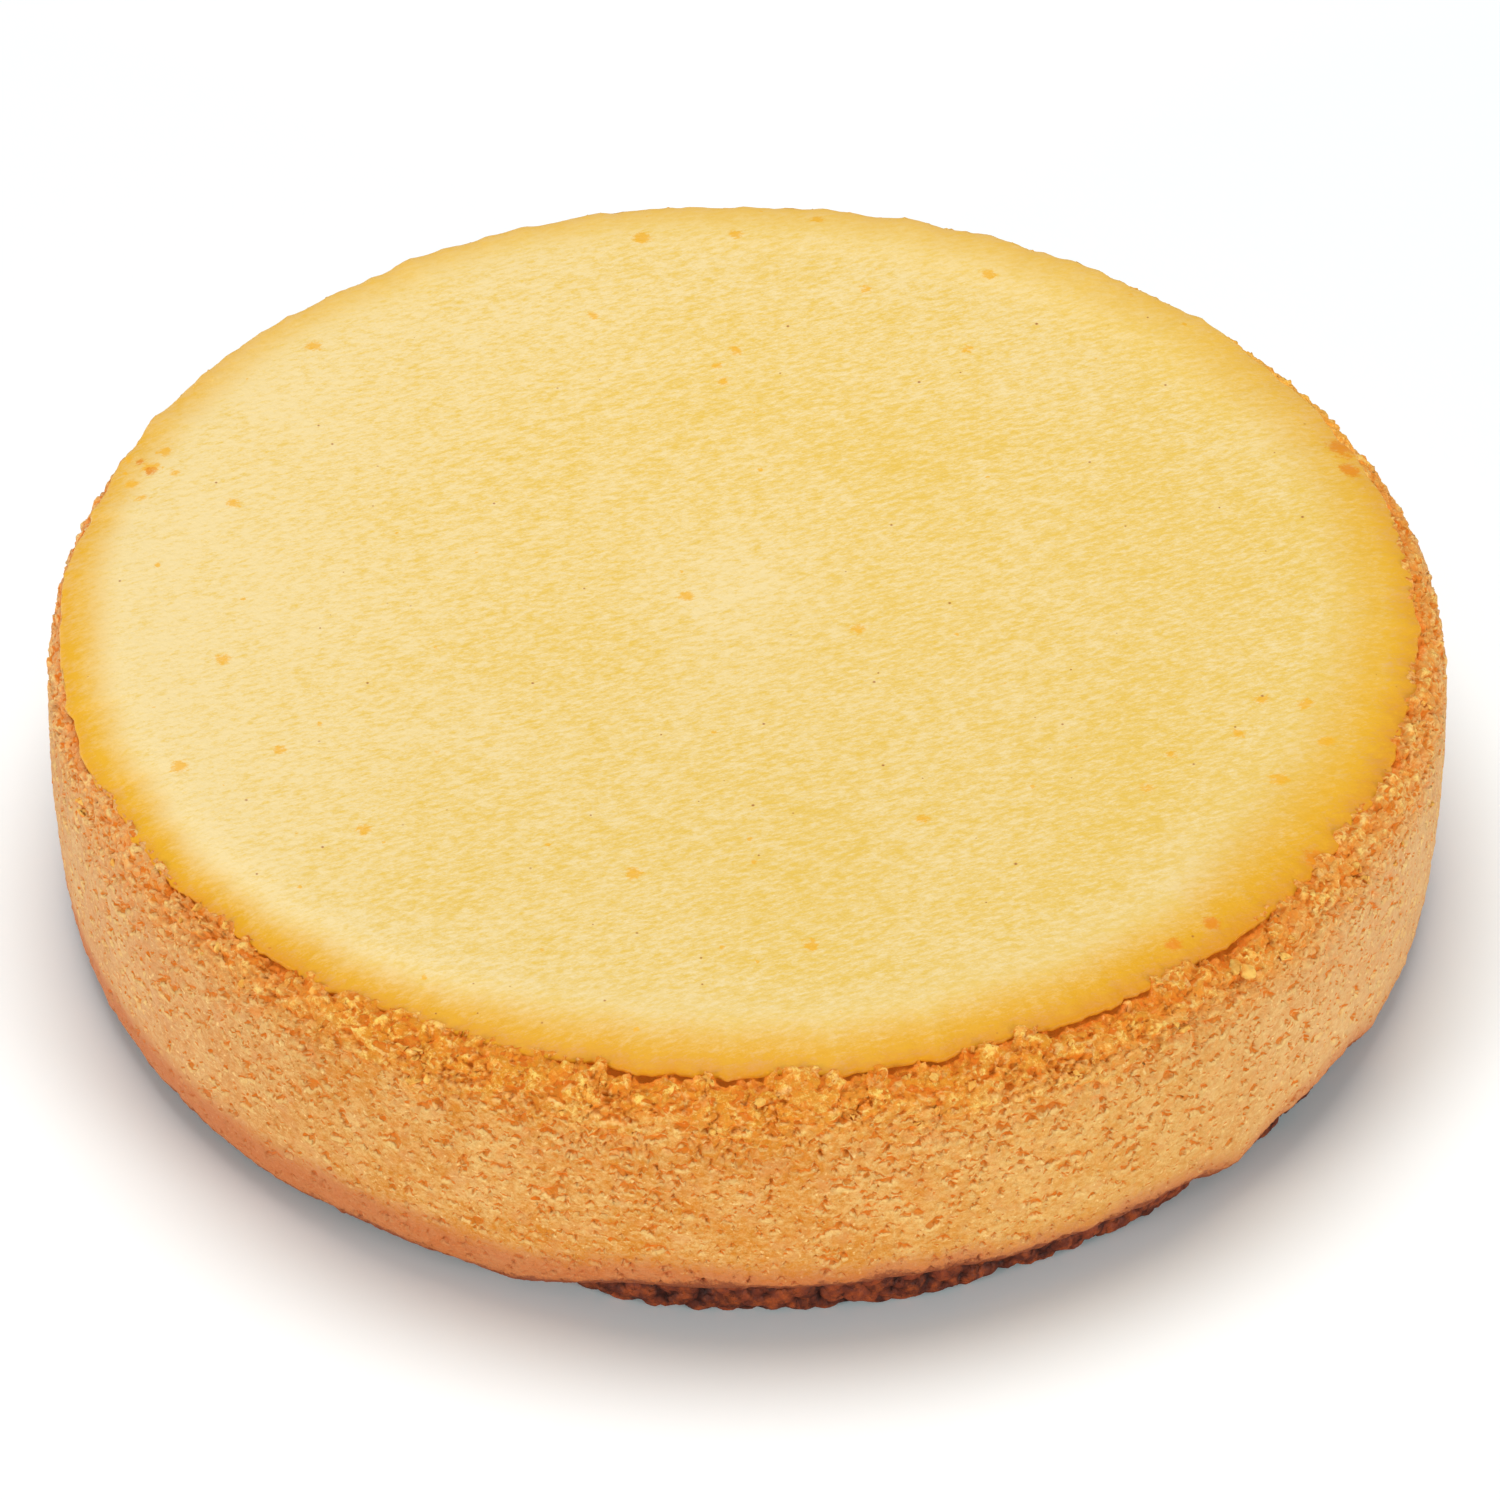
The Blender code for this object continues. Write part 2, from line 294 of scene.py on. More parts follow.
class Net:
    """A node tree, for shaders and for geometry alike."""

    def __init__(self, tree):
        self.tree = tree

    def node(self, kind, settings=None, inputs=None, output=0):
        node = self.tree.nodes.new(kind)
        for name, value in (settings or {}).items():
            setattr(node, name, value)
        for key, value in (inputs or {}).items():
            self.join(value, node.inputs[key])
        return Field(self, node.outputs[output]) if len(node.outputs) else node

    def join(self, value, socket):
        if isinstance(value, Field):
            self.tree.links.new(value.socket, socket)
        else:
            socket.default_value = value

    def ease(self, value, low, high):
        """Smooth step of value, from 0 at low to 1 at high."""
        inputs = {"Value": value, "From Min": low, "From Max": high}
        return self.node("ShaderNodeMapRange", {"interpolation_type": "SMOOTHSTEP"}, inputs)

    def vector(self, operation, *values):
        inputs = dict(enumerate(values))
        return self.node("ShaderNodeVectorMath", {"operation": operation}, inputs)

    def parts(self, vector):
        split = self.node("ShaderNodeSeparateXYZ", None, {0: vector})
        return split, split.out(1), split.out(2)

    def blend(self, factor, first, second):
        inputs = {0: factor, 6: first, 7: second}
        return self.node("ShaderNodeMix", {"data_type": "RGBA"}, inputs, 2)

    def noise(self, place, size, detail=2.0, roughness=0.5):
        """Soft noise around 0, about -1 to 1, in patches of this size."""
        inputs = {"Vector": place, "Scale": 1.0 / size, "Detail": detail, "Roughness": roughness}
        return self.node("ShaderNodeTexNoise", None, inputs) * 2.0 - 1.0

    def cells(self, place, size):
        """Distance to the nearest of many scattered points, and its colour."""
        inputs = {"Vector": place, "Scale": 1.0 / size, "Randomness": 1.0}
        spots = self.node("ShaderNodeTexVoronoi", {"feature": "F1"}, inputs)
        return spots, spots.out(1)

    def stirred(self, place, size, reach):
        """The place pushed about, so that what is drawn there has wandering edges."""
        inputs = {"Vector": place, "Scale": 1.0 / size, "Detail": 2.0}
        push = self.node("ShaderNodeTexNoise", None, inputs, 1)
        centred = self.vector("SUBTRACT", push, (0.5, 0.5, 0.5))
        stretched = self.vector("MULTIPLY", centred, (2.0 * reach,) * 3)
        return self.vector("ADD", place, stretched)

    def lumps(self, place, size):
        """Rounded crumbs pressed together: 1 on top of each, 0 in the cracks."""
        distance, _ = self.cells(place, size)
        return (1.0 - (distance / 0.8) ** 2.0).at_least(0.0) ** 0.5

    def chunks(self, place, size):
        """Broken crumbs side by side: each stands at its own level, about -1 to 1."""
        distance, colour = self.cells(place, size)
        level, _, _ = self.parts(colour)
        return level * 1.2 - distance * 1.4

    def pits(self, place, size, onset):
        """Ragged pits where soft noise passes an onset: how deep, and the shares
        of their upper and lower lips, from 0 to 1."""
        def blot(where):
            return self.ease(self.noise(where, size), onset, onset + 0.14)
        deep = blot(place)
        above = blot(self.vector("ADD", place, (0.0, 0.0, 0.3 * size)))
        return deep, deep * (1.0 - above), above * (1.0 - deep)

    def dents(self, place, size, share, width):
        """Scattered round dents, in a share of the cells: 1 in the middle of each."""
        distance, colour = self.cells(place, size)
        pick, scale, _ = self.parts(colour)
        radius = (scale * 0.6 + 0.4) * width
        present = self.ease(pick, share, share - 0.04)
        return self.ease(distance, radius, radius * 0.2) * present


def food_colour(red, green, blue):
    """A screen colour from 0 to 255 as Blender's linear colour."""
    def linear(value):
        value /= 255.0
        return value / 12.92 if value <= 0.04045 else ((value + 0.055) / 1.055) ** 2.4
    return (linear(red), linear(green), linear(blue), 1.0)


# Colours of the skin
CREAM = food_colour(236, 212, 152)
BUTTER = food_colour(228, 190, 84)
# Painted sheen: the pale ring inside the golden band, in front
SHEEN_CREAM = food_colour(236, 212, 158)
GOLD = food_colour(226, 171, 40)
# Deeper gold for the front: painted shade against the stronger lamp light there
FRONT_GOLD_SHADE = food_colour(219, 160, 18)
BACK_GOLD = food_colour(250, 210, 108)
EDGE_AMBER = food_colour(206, 128, 26)
SPOT_YELLOW = food_colour(236, 172, 22)
SPOT_BROWN = food_colour(222, 128, 8)
SPECK_BROWN = food_colour(150, 66, 26)

# Colours of the side
TAN = food_colour(223, 179, 109)
DEEP_TAN = food_colour(199, 122, 28)
ROSY_TAN = food_colour(210, 148, 92)
# Crumb colours: orange where low, as painted shade, butter on the crests, as painted highlight, mixed
# by the grain
CRUMB_ORANGE_AND_SHADE = food_colour(216, 138, 26)
CRUMB_BUTTER_AND_HIGHLIGHT = food_colour(249, 212, 106)
RIGHT_TAN = food_colour(234, 196, 112)
# Painted sheen at the far left and right ends
END_SHEEN_TAN = food_colour(208, 168, 128)
# Painted shade on faces turned down, painted highlight on faces turned up
UNDERSIDE_SHADE = food_colour(214, 118, 20)
UPPER_SIDE_HIGHLIGHT = food_colour(252, 216, 136)
# Pits: painted shade inside, painted shadow on the upper lip, painted highlight on the lower lip
PIT_SHADE = food_colour(208, 118, 26)
PIT_TOP_SHADOW = food_colour(198, 96, 12)
PIT_SILL_HIGHLIGHT = food_colour(246, 210, 134)
# Painted shade in the gaps, cracks and crevice between the crumbs
GAP_SHADE = food_colour(212, 116, 20)
CRACK_SHADE = food_colour(204, 98, 12)
CREVICE_SHADE = food_colour(206, 92, 12)
BACK_RIM = food_colour(243, 184, 68)
# Painted highlight: tiny pale flecks
FLECK_HIGHLIGHT = food_colour(250, 220, 148)
STAIN = food_colour(188, 102, 60)
FOOT_BROWN = food_colour(132, 62, 34)
NO_GLOW = (0.0, 0.0, 0.0, 1.0)
# Colour of the painted glow in the side's shaded places
SIDE_GLOW = (1.0, 0.35, 0.03, 1.0)

# Colours of the base and of the loose crumbs
BASE_DARK = food_colour(66, 24, 12)
BASE_BROWN = food_colour(118, 50, 26)
# Painted highlight on the lumps' crests and painted shade in the cracks between them
BASE_CREST_HIGHLIGHT = food_colour(188, 88, 32)
BASE_CRACK_SHADE = food_colour(40, 12, 6)
LOOSE_GOLD = food_colour(220, 150, 54)
LOOSE_BUTTER = food_colour(236, 188, 94)
# Painted shade on the loose crumbs' undersides, and its painted glow
LOOSE_UNDERSIDE_SHADE = food_colour(206, 108, 22)
LOOSE_GLOW = (1.0, 0.34, 0.04, 1.0)


def smooth_step(low, high, value):
    """Smooth step of value, from 0 at low to 1 at high."""
    share = np.clip((value - low) / (high - low), 0.0, 1.0)
    return share * share * (3.0 - 2.0 * share)


def ragged_line(angles, layers):
    """Noise round the cake at each angle, added up from layers of depth and patch size."""
    line = 0.0
    for depth, size, layer in layers:
        reach = SKIN_RADIUS / size
        line = line + depth * np.array([
            noise.noise(Vector((reach * math.cos(angle), reach * math.sin(angle), 17.3 * layer)))
            for angle in angles
        ])
    return line


def degrees_from(angles, middle):
    return np.abs((np.degrees(angles) - middle + 180.0) % 360.0 - 180.0)


def bareness(angles):
    """How much of its full height the crumb base shows at each angle, 0 to 1."""
    most = np.zeros(len(angles))
    for middle, half_width, share in BARE_STRETCHES:
        offset = degrees_from(angles, middle)
        most = np.maximum(most, share * (1.0 - smooth_step(0.6 * half_width, 1.3 * half_width, offset)))
    return most


def base_reach(angles):
    return BASE_RADIUS + BARE_REACH * bareness(angles)


def skin_edge(angles):
    """Radius of the skin's torn edge at each angle."""
    along = SKIN_SHIFT[0] * np.cos(angles) + SKIN_SHIFT[1] * np.sin(angles)
    torn = ragged_line(angles, EDGE_TEARS) + crag_share(angles) * ragged_line(angles, FINE_TEARS)
    return SKIN_RADIUS + along + SKIN_OVAL * np.cos(2.0 * angles) + torn


def skin_height(share):
    """Height of the skin at a share of the way from its middle to its edge."""
    crest = CREST_RADIUS / SKIN_RADIUS
    dish = DISH_DEPTH * (1.0 - smooth_step(0.0, crest, share))
    roll = np.clip((share - crest) / (1.0 - crest), 0.0, None)
    return CAKE_HEIGHT - dish - SKIN_DROP * roll * roll


def lobes(angles, bumps):
    """Smooth bumps round the cake: each has its height at its middle angle and is
    0 past its half width."""
    return sum(
        height * (1.0 - smooth_step(0.0, half_width, degrees_from(angles, middle)))
        for height, middle, half_width in bumps
    )


def tear_share(angles):
    """How far the tear beside the skin is open at each angle, 0 to 1."""
    return smooth_step(0.15, 0.6, ragged_line(angles, OPEN_TEARS) + lobes(angles, TEAR_LOBES))


def crag_share(angles):
    """Nearly 1 where the side is torn and crumbly, along the front, less behind."""
    return 0.3 + 0.7 * smooth_step(0.0, 0.55, lobes(angles, CRAG_LOBE))


def browning_width(angles):
    """Width of the golden band along the skin's edge, in millimetres."""
    return BROWNING_WIDTH + lobes(angles, BROWNING_LOBES) + ragged_line(angles, BROWNING_WANDER)


def wall_radius(height):
    offset = (height - BULGE_HEIGHT) / (BULGE_HEIGHT - WALL_FOOT)
    return WALL_RADIUS - BULGE * offset * offset


def turned_mesh(name, angles, rings, top, bottom, values):
    """A closed skin through rings of (radius, height) round Z, with a middle
    point above the first ring and one below the last. The values are stored
    as attributes, one number for each ring and angle."""
    count = len(angles)
    radii = np.array([np.broadcast_to(radius, count) for radius, _ in rings])
    heights = np.array([np.broadcast_to(height, count) for _, height in rings])
    shell = np.stack([radii * np.cos(angles), radii * np.sin(angles), heights], axis=-1)
    points = np.concatenate([shell.reshape(-1, 3), [[0, 0, top], [0, 0, bottom]]])

    step = np.arange(count)
    following = (step + 1) % count
    quads = []
    for ring in range(len(rings) - 1):
        upper = ring * count
        lower = upper + count
        corners = [upper + step, lower + step, lower + following, upper + following]
        quads.append(np.stack(corners, axis=-1))
    top_point = len(points) - 2
    last = (len(rings) - 1) * count
    caps = np.concatenate([
        np.stack([np.full(count, top_point), step, following], axis=-1),
        np.stack([np.full(count, top_point + 1), last + following, last + step], axis=-1),
    ])
    faces = np.concatenate(quads).tolist() + caps.tolist()

    mesh = bpy.data.meshes.new(name)
    mesh.from_pydata((points * MM).tolist(), [], faces)
    rest = mesh.attributes.new("rest", "FLOAT_VECTOR", "POINT")
    rest.data.foreach_set("vector", points.astype(np.float32).ravel())
    for label, grid in values.items():
        flat = np.concatenate([np.array(grid, np.float32).ravel(), [grid[0][0], grid[-1][0]]])
        attribute = mesh.attributes.new(label, "FLOAT", "POINT")
        attribute.data.foreach_set("value", flat.astype(np.float32))
    mesh.shade_smooth()
    return mesh


def place_in_scene(name, mesh):
    piece = bpy.data.objects.new(name, mesh)
    bpy.context.scene.collection.objects.link(piece)
    return piece


def spread(start, end, step):
    """Even shares from 0 to 1 for a line of this length, without the first."""
    count = max(int(math.ceil(abs(end - start) / step)), 1)
    return np.arange(1, count + 1) / count


def spot_share(right, back, spots):
    """1 in the middle of each listed spot, falling softly to 0."""
    share = np.zeros(right.shape)
    for x, y, size in spots:
        distance = np.hypot(right - x, back - y)
        share = np.maximum(share, np.exp(-(distance / (SPOT_SOFTNESS * size)) ** 2))
    return share


def skin_mesh():
    """The dished skin with its torn edge, marked with how far inside the edge each
    point lies and with the spots."""
    angles = np.linspace(0.0, math.tau, SKIN_SEGMENTS, endpoint=False)
    edge = skin_edge(angles)
    bands = [start + spread(start, end, step) * (end - start) for start, end, step in SKIN_BANDS]
    shares = np.concatenate(bands) / SKIN_RADIUS
    rings = []
    inside = []
    widening = BROWNING_MEASURE / browning_width(angles)
    for share in shares:
        reach = SKIN_RADIUS + (edge - SKIN_RADIUS) * smooth_step(0.4, 1.0, share)
        rings.append((reach * share, skin_height(share)))
        inside.append((edge - reach * share) * widening)
    rim = float(skin_height(1.0))
    for outward, down in SKIN_UNDERSIDE:
        rings.append((edge + outward, rim - down))
        inside.append(np.zeros(len(angles)) - down * 0.5)
    for share in SKIN_FLOOR_SHARES:
        rings.append((edge * share, float(skin_height(share)) - SKIN_THICKNESS))
        inside.append(np.full(len(angles), FAR_INSIDE))
    top = float(skin_height(0.0))
    values = {"inside": inside}
    reach = np.array([np.broadcast_to(radius, len(angles)) for radius, _ in rings])
    right = reach * np.cos(angles)
    back = reach * np.sin(angles)
    for label, spots in {"yellow": YELLOW_SPOTS, "brown": BROWN_SPOTS, "pale": PALE_AND_SHEEN_SPOTS}.items():
        values[label] = spot_share(right, back, spots)
    return turned_mesh("baked_skin", angles, rings, top, top - SKIN_THICKNESS, values)


def gutter_rings(edge, opened, craggy):
    """The gutter under the skin's torn edge, closed where the edge isn't torn.
    Returns its rings and the measure down the side at each, as the next three do."""
    rim = float(skin_height(1.0))
    tear = LEAST_TEAR + TEAR_DEPTH * opened
    closed = (1.0 - opened) * smooth_step(0.45, 0.8, craggy)
    under_skin = float(skin_height(BODY_TOP_SHARE)) - SKIN_THICKNESS
    rings = [(edge * BODY_TOP_SHARE, under_skin), (edge - GUTTER_WIDTH, rim - GUTTER_DEPTH)]
    along = [-2.0 * GUTTER_WIDTH, -GUTTER_WIDTH]
    for share, lifted in GUTTER_LIFTS:
        gutter = rim - GUTTER_DEPTH - (tear - GUTTER_DEPTH) * share
        height = gutter + (rim + lifted - gutter) * closed
        rings.append((edge - GUTTER_WIDTH + GUTTER_SPAN * share, height))
        along.append(GUTTER_SPAN * share - GUTTER_WIDTH)
    return rings, along


def shoulder_rings(angles, edge, opened, craggy):
    """The rounded shoulder, lower behind and where it is smooth."""
    inner = edge + SHOULDER_GAP + TEAR_WIDTH * opened
    outer = wall_radius(SHOULDER_FOOT)
    behind = smooth_step(0.1, 0.7, np.sin(angles))
    top = SHOULDER_TOP + CLOSED_RISE * (1.0 - opened) - SMOOTH_DROP * (1.0 - craggy)
    top -= BACK_DROP * behind
    rings = []
    along = []
    for share in np.concatenate([[0.0], spread(0.0, SHOULDER_LENGTH, SHOULDER_STEP)]):
        turn = 0.5 * math.pi * share
        radius = inner + (outer - inner) * math.sin(turn)
        rings.append((radius, SHOULDER_FOOT + (top - SHOULDER_FOOT) * math.cos(turn)))
        along.append(SHOULDER_START + (WALL_START - SHOULDER_START) * share)
    return rings, along


def wall_rings(ragged):
    rings = []
    along = []
    for share in spread(SHOULDER_FOOT, WALL_FOOT, BODY_STEP):
        height = SHOULDER_FOOT + (WALL_FOOT - SHOULDER_FOOT) * share
        rings.append((wall_radius(height), height + ragged * smooth_step(0.85, 1.0, share)))
        along.append(WALL_START + (SKIRT_START - WALL_START) * share)
    return rings, along


def skirt_rings(angles, ragged, bare):
    """The skirt that curls in round the base, or slants where the base is bare,
    and the recess for the base."""
    lip_radius = base_reach(angles) + LAYER_GAP
    lip_height = SKIRT_EDGE_HEIGHT + BARE_RISE * bare + LIP_RAGGEDNESS * ragged
    curled_lip = lip_radius + SKIRT_EDGE_WIDTH
    outer = wall_radius(WALL_FOOT)
    top = WALL_FOOT + ragged
    drop = lip_height - WALL_FOOT - ragged
    rings = []
    along = []
    for share in spread(WALL_FOOT, SKIRT_EDGE_HEIGHT - 2.0, BODY_STEP):
        turn = 0.5 * math.pi * share
        curled_radius = curled_lip + (outer - curled_lip) * math.cos(turn)
        curled_height = top + drop * math.sin(turn)
        slant_radius = outer + (lip_radius + 0.5 - outer) * share
        slant_height = top + drop * share
        radius = curled_radius + (slant_radius - curled_radius) * bare
        rings.append((radius, curled_height + (slant_height - curled_height) * bare))
        along.append(SKIRT_START + (LIP_START - SKIRT_START) * share)
    ceiling = BASE_THICKNESS + LAYER_GAP
    rings += [(lip_radius + 0.3, lip_height - 0.05), (lip_radius, lip_height + 0.25)]
    rings += [(lip_radius, ceiling), (lip_radius * 0.7, ceiling)]
    along += [LIP_START + 1.0, LIP_START + 1.5, LIP_START + 11.0, LIP_START + 11.0]
    return rings, along


def body_mesh():
    """The filling without its skin, marked with the measure down the side, how
    craggy and how torn it is, and the height above its visible lower edge."""
    angles = np.linspace(0.0, math.tau, BODY_SEGMENTS, endpoint=False)
    edge = skin_edge(angles)
    opened = tear_share(angles)
    craggy = crag_share(angles)
    bare = bareness(angles)
    ragged = ragged_line(angles, RAGGED_FOOT)
    stretches = (
        gutter_rings(edge, opened, craggy),
        shoulder_rings(angles, edge, opened, craggy),
        wall_rings(ragged),
        skirt_rings(angles, ragged, bare),
    )
    rings = [ring for stretch, _ in stretches for ring in stretch]
    along = [value for _, measures in stretches for value in measures]

    count = len(angles)
    seen_edge = WALL_FOOT * bare + STAIN_HEIGHT * (1.0 - bare)
    values = {
        "along": [np.full(count, value) for value in along],
        "craggy": [craggy] * len(along),
        "torn": [opened] * len(along),
        "above": [np.broadcast_to(height, count) - seen_edge for _, height in rings],
    }
    top = float(skin_height(0.0)) - GUTTER_DEPTH
    ceiling = BASE_THICKNESS + LAYER_GAP
    return turned_mesh("crumbly_body", angles, rings, top, ceiling, values)


def base_mesh():
    """The pressed base, with its outer rings marked for the lumps."""
    angles = np.linspace(0.0, math.tau, BASE_SEGMENTS, endpoint=False)
    reach = base_reach(angles) + BASE_SWELL
    rings = [(radius, BASE_THICKNESS) for radius in (reach * 0.6, reach - 4.0, reach - 0.8)]
    for share in np.linspace(0.06, 0.97, BASE_RINGS):
        rounded = BASE_ROUNDING * (abs(2.0 * share - 1.0)) ** 4
        rings.append((reach - rounded, BASE_THICKNESS * (1.0 - share)))
    rings += [(radius, 0.0) for radius in (reach - 1.0, reach - 4.0, reach * 0.6)]
    marks = [0.0, 0.0] + [1.0] * (len(rings) - 4) + [0.0, 0.0]
    outer = [np.full(len(angles), mark) for mark in marks]
    return turned_mesh("pressed_base", angles, rings, BASE_THICKNESS, 0.0, {"outer": outer})


def flattened(net, place, amount):
    """The place drawn out upwards, so that patterns there come out flattened."""
    return net.vector("MULTIPLY", place, (1.0, 1.0, amount))


def crumb_share(net, place, along):
    """1 on the crumbly shoulder below the torn rim, fading to 0 on the wall."""
    wander = net.noise(place, 8.0) * 4.0 + net.noise(place, 2.5) * 3.0
    return net.ease(along + wander, 13.0, 2.0)


def wall_pits(net, place, along):
    """Pits torn in the side, large and small: their depth, and the shares of their
    upper and lower lips, which take a painted shadow and a painted highlight."""
    lower = net.ease(along, 10.0, 44.0)
    shifted = net.vector("ADD", place, SMALL_PITS_SHIFT)
    kinds = []
    for where, (flattening, size, onset, later) in ((place, LARGE_PITS), (shifted, SMALL_PITS)):
        kinds.append(net.pits(flattened(net, where, flattening), size, onset + lower * later))
    return [large.at_least(small * 0.8) for large, small in zip(*kinds)]


def side_relief(net, place, along):
    """Height of the side's crumbs and pits in millimetres, with the shares of
    crumb, crack and crest that colour them: painted shade in the cracks, painted
    highlight on the crests."""
    crumbly = crumb_share(net, place, along)
    wandering = net.stirred(place, 1.7, 0.6)
    coarse = net.chunks(flattened(net, wandering, 1.5), 2.7)
    fine = net.chunks(flattened(net, wandering, 1.3), 1.35)
    flakes = net.noise(flattened(net, place, 1.8), 3.4, 3.0, 0.6)
    crumbs = coarse * 0.6 + fine * 0.3 + flakes * 0.6

    threads = net.noise(flattened(net, wandering, 2.4), 5.0, 3.0).math("ABSOLUTE")
    torn = net.ease(net.noise(place, 9.0), -0.3, 0.2) * net.ease(along, 22.0, 8.0)
    seams = net.ease(threads, 0.1, 0.0) * torn

    deep, _, _ = wall_pits(net, place, along)
    soft = net.noise(flattened(net, place, 1.5), 2.2, 3.0, 0.62)
    wall = net.noise(place, 8.0) * 0.3 + soft * 0.38 - deep * 0.8

    rise = crumbs * crumbly + wall * (1.0 - 0.6 * crumbly) - seams * 1.0
    # Share of the cracks, which take painted shade
    shaded_cracks = (net.ease(crumbs, -0.2, -0.8) * crumbly).at_least(seams * 0.8)
    return rise, {"crumbly": crumbly, "shaded_cracks": shaded_cracks, "crest": net.ease(rise, -0.2, 0.9)}


def new_tree(name):
    tree = bpy.data.node_groups.new(name, "GeometryNodeTree")
    tree.interface.new_socket("Geometry", in_out="INPUT", socket_type="NodeSocketGeometry")
    tree.interface.new_socket("Geometry", in_out="OUTPUT", socket_type="NodeSocketGeometry")
    return tree, Net(tree)


def add_numbers(tree, values):
    """Gives a tree its named inputs. Returns each one's identifier and value."""
    numbers = {}
    for name, value in values.items():
        socket = tree.interface.new_socket(name, in_out="INPUT", socket_type="NodeSocketFloat")
        socket.default_value = value
        numbers[socket.identifier] = value
    return numbers


def pushed_out(net, geometry, distance):
    """Each point moved along its normal by a distance in millimetres."""
    offset = net.vector("SCALE", net.node("GeometryNodeInputNormal"))
    net.join(distance * MM, offset.socket.node.inputs["Scale"])
    return net.node("GeometryNodeSetPosition", None, {"Geometry": geometry, "Offset": offset})


def close_tree(net, geometry, material):
    finished = net.node("GeometryNodeSetMaterial", None, {"Geometry": geometry, "Material": material})
    net.node("NodeGroupOutput", None, {"Geometry": finished})


def grow(name, mesh, tree, numbers, material):
    """Run a Geometry Nodes tree on a mesh and keep the result as a plain piece."""
    carrier = place_in_scene(name + "_form", mesh)
    modifier = carrier.modifiers.new("Form", "NODES")
    modifier.node_group = tree
    for identifier, value in numbers.items():
        modifier[identifier] = value
    evaluated = carrier.evaluated_get(bpy.context.evaluated_depsgraph_get())
    grown = bpy.data.meshes.new_from_object(evaluated)
    grown.name = name
    carrier.modifiers.remove(modifier)
    bpy.data.objects.remove(carrier, do_unlink=True)
    grown.materials.clear()
    grown.materials.append(material)
    return place_in_scene(name, grown)


def named(net, label, kind="FLOAT"):
    return net.node("GeometryNodeInputNamedAttribute", {"data_type": kind}, {"Name": label})


def body_tree(material):
    """Roughens the side: crumbs on the shoulder, dents and a soft grain below."""
    tree, net = new_tree("Crumbly side")
    numbers = add_numbers(tree, {"Relief": RELIEF_SHARE})
    given = net.node("NodeGroupInput")
    along = named(net, "along")
    rise, shares = side_relief(net, named(net, "rest", "FLOAT_VECTOR"), along)
    craggy = named(net, "craggy")
    near_rim = net.ease(along, 6.0, 2.0)
    rise = rise.at_most(1.4 - near_rim * (1.7 - craggy * 1.6))
    rise = rise * (1.0 - near_rim * (1.0 - craggy))
    shown = net.ease(along, -2.5, 0.3) * net.ease(along, LIP_START + 1.6, LIP_START + 0.5)
    _, _, shares["level"] = net.parts(net.node("GeometryNodeInputNormal"))
    form = given.out("Geometry")
    for label, share in shares.items():
        settings = {"data_type": "FLOAT", "domain": "POINT"}
        inputs = {"Geometry": form, "Name": label, "Value": share}
        form = net.node("GeometryNodeStoreNamedAttribute", settings, inputs)
    close_tree(net, pushed_out(net, form, rise * shown * given.out("Relief")), material)
    return tree, numbers


def base_patterns(net, place):
    wandering = net.stirred(place, 2.5, 0.7)
    big = net.lumps(wandering, LUMP_SIZE)
    small = net.lumps(net.stirred(place, 1.0, 0.3), GRAIN_SIZE)
    return wandering, big, small


def base_tree(material):
    """Presses lumps of crumb into the edge of the base."""
    tree, net = new_tree("Pressed crumbs")
    numbers = add_numbers(tree, {"Lump depth": LUMP_DEPTH, "Grain depth": GRAIN_DEPTH})
    given = net.node("NodeGroupInput")
    _, big, small = base_patterns(net, named(net, "rest", "FLOAT_VECTOR"))
    depth = (1.0 - big) * given.out("Lump depth") + (1.0 - small) * given.out("Grain depth")
    inward = depth * named(net, "outer") * -1.0
    close_tree(net, pushed_out(net, given.out("Geometry"), inward), material)
    return tree, numbers


def random_vector(net, low, high, seed):
    inputs = {0: low, 1: high, "Seed": seed}
    return net.node("FunctionNodeRandomValue", {"data_type": "FLOAT_VECTOR"}, inputs)


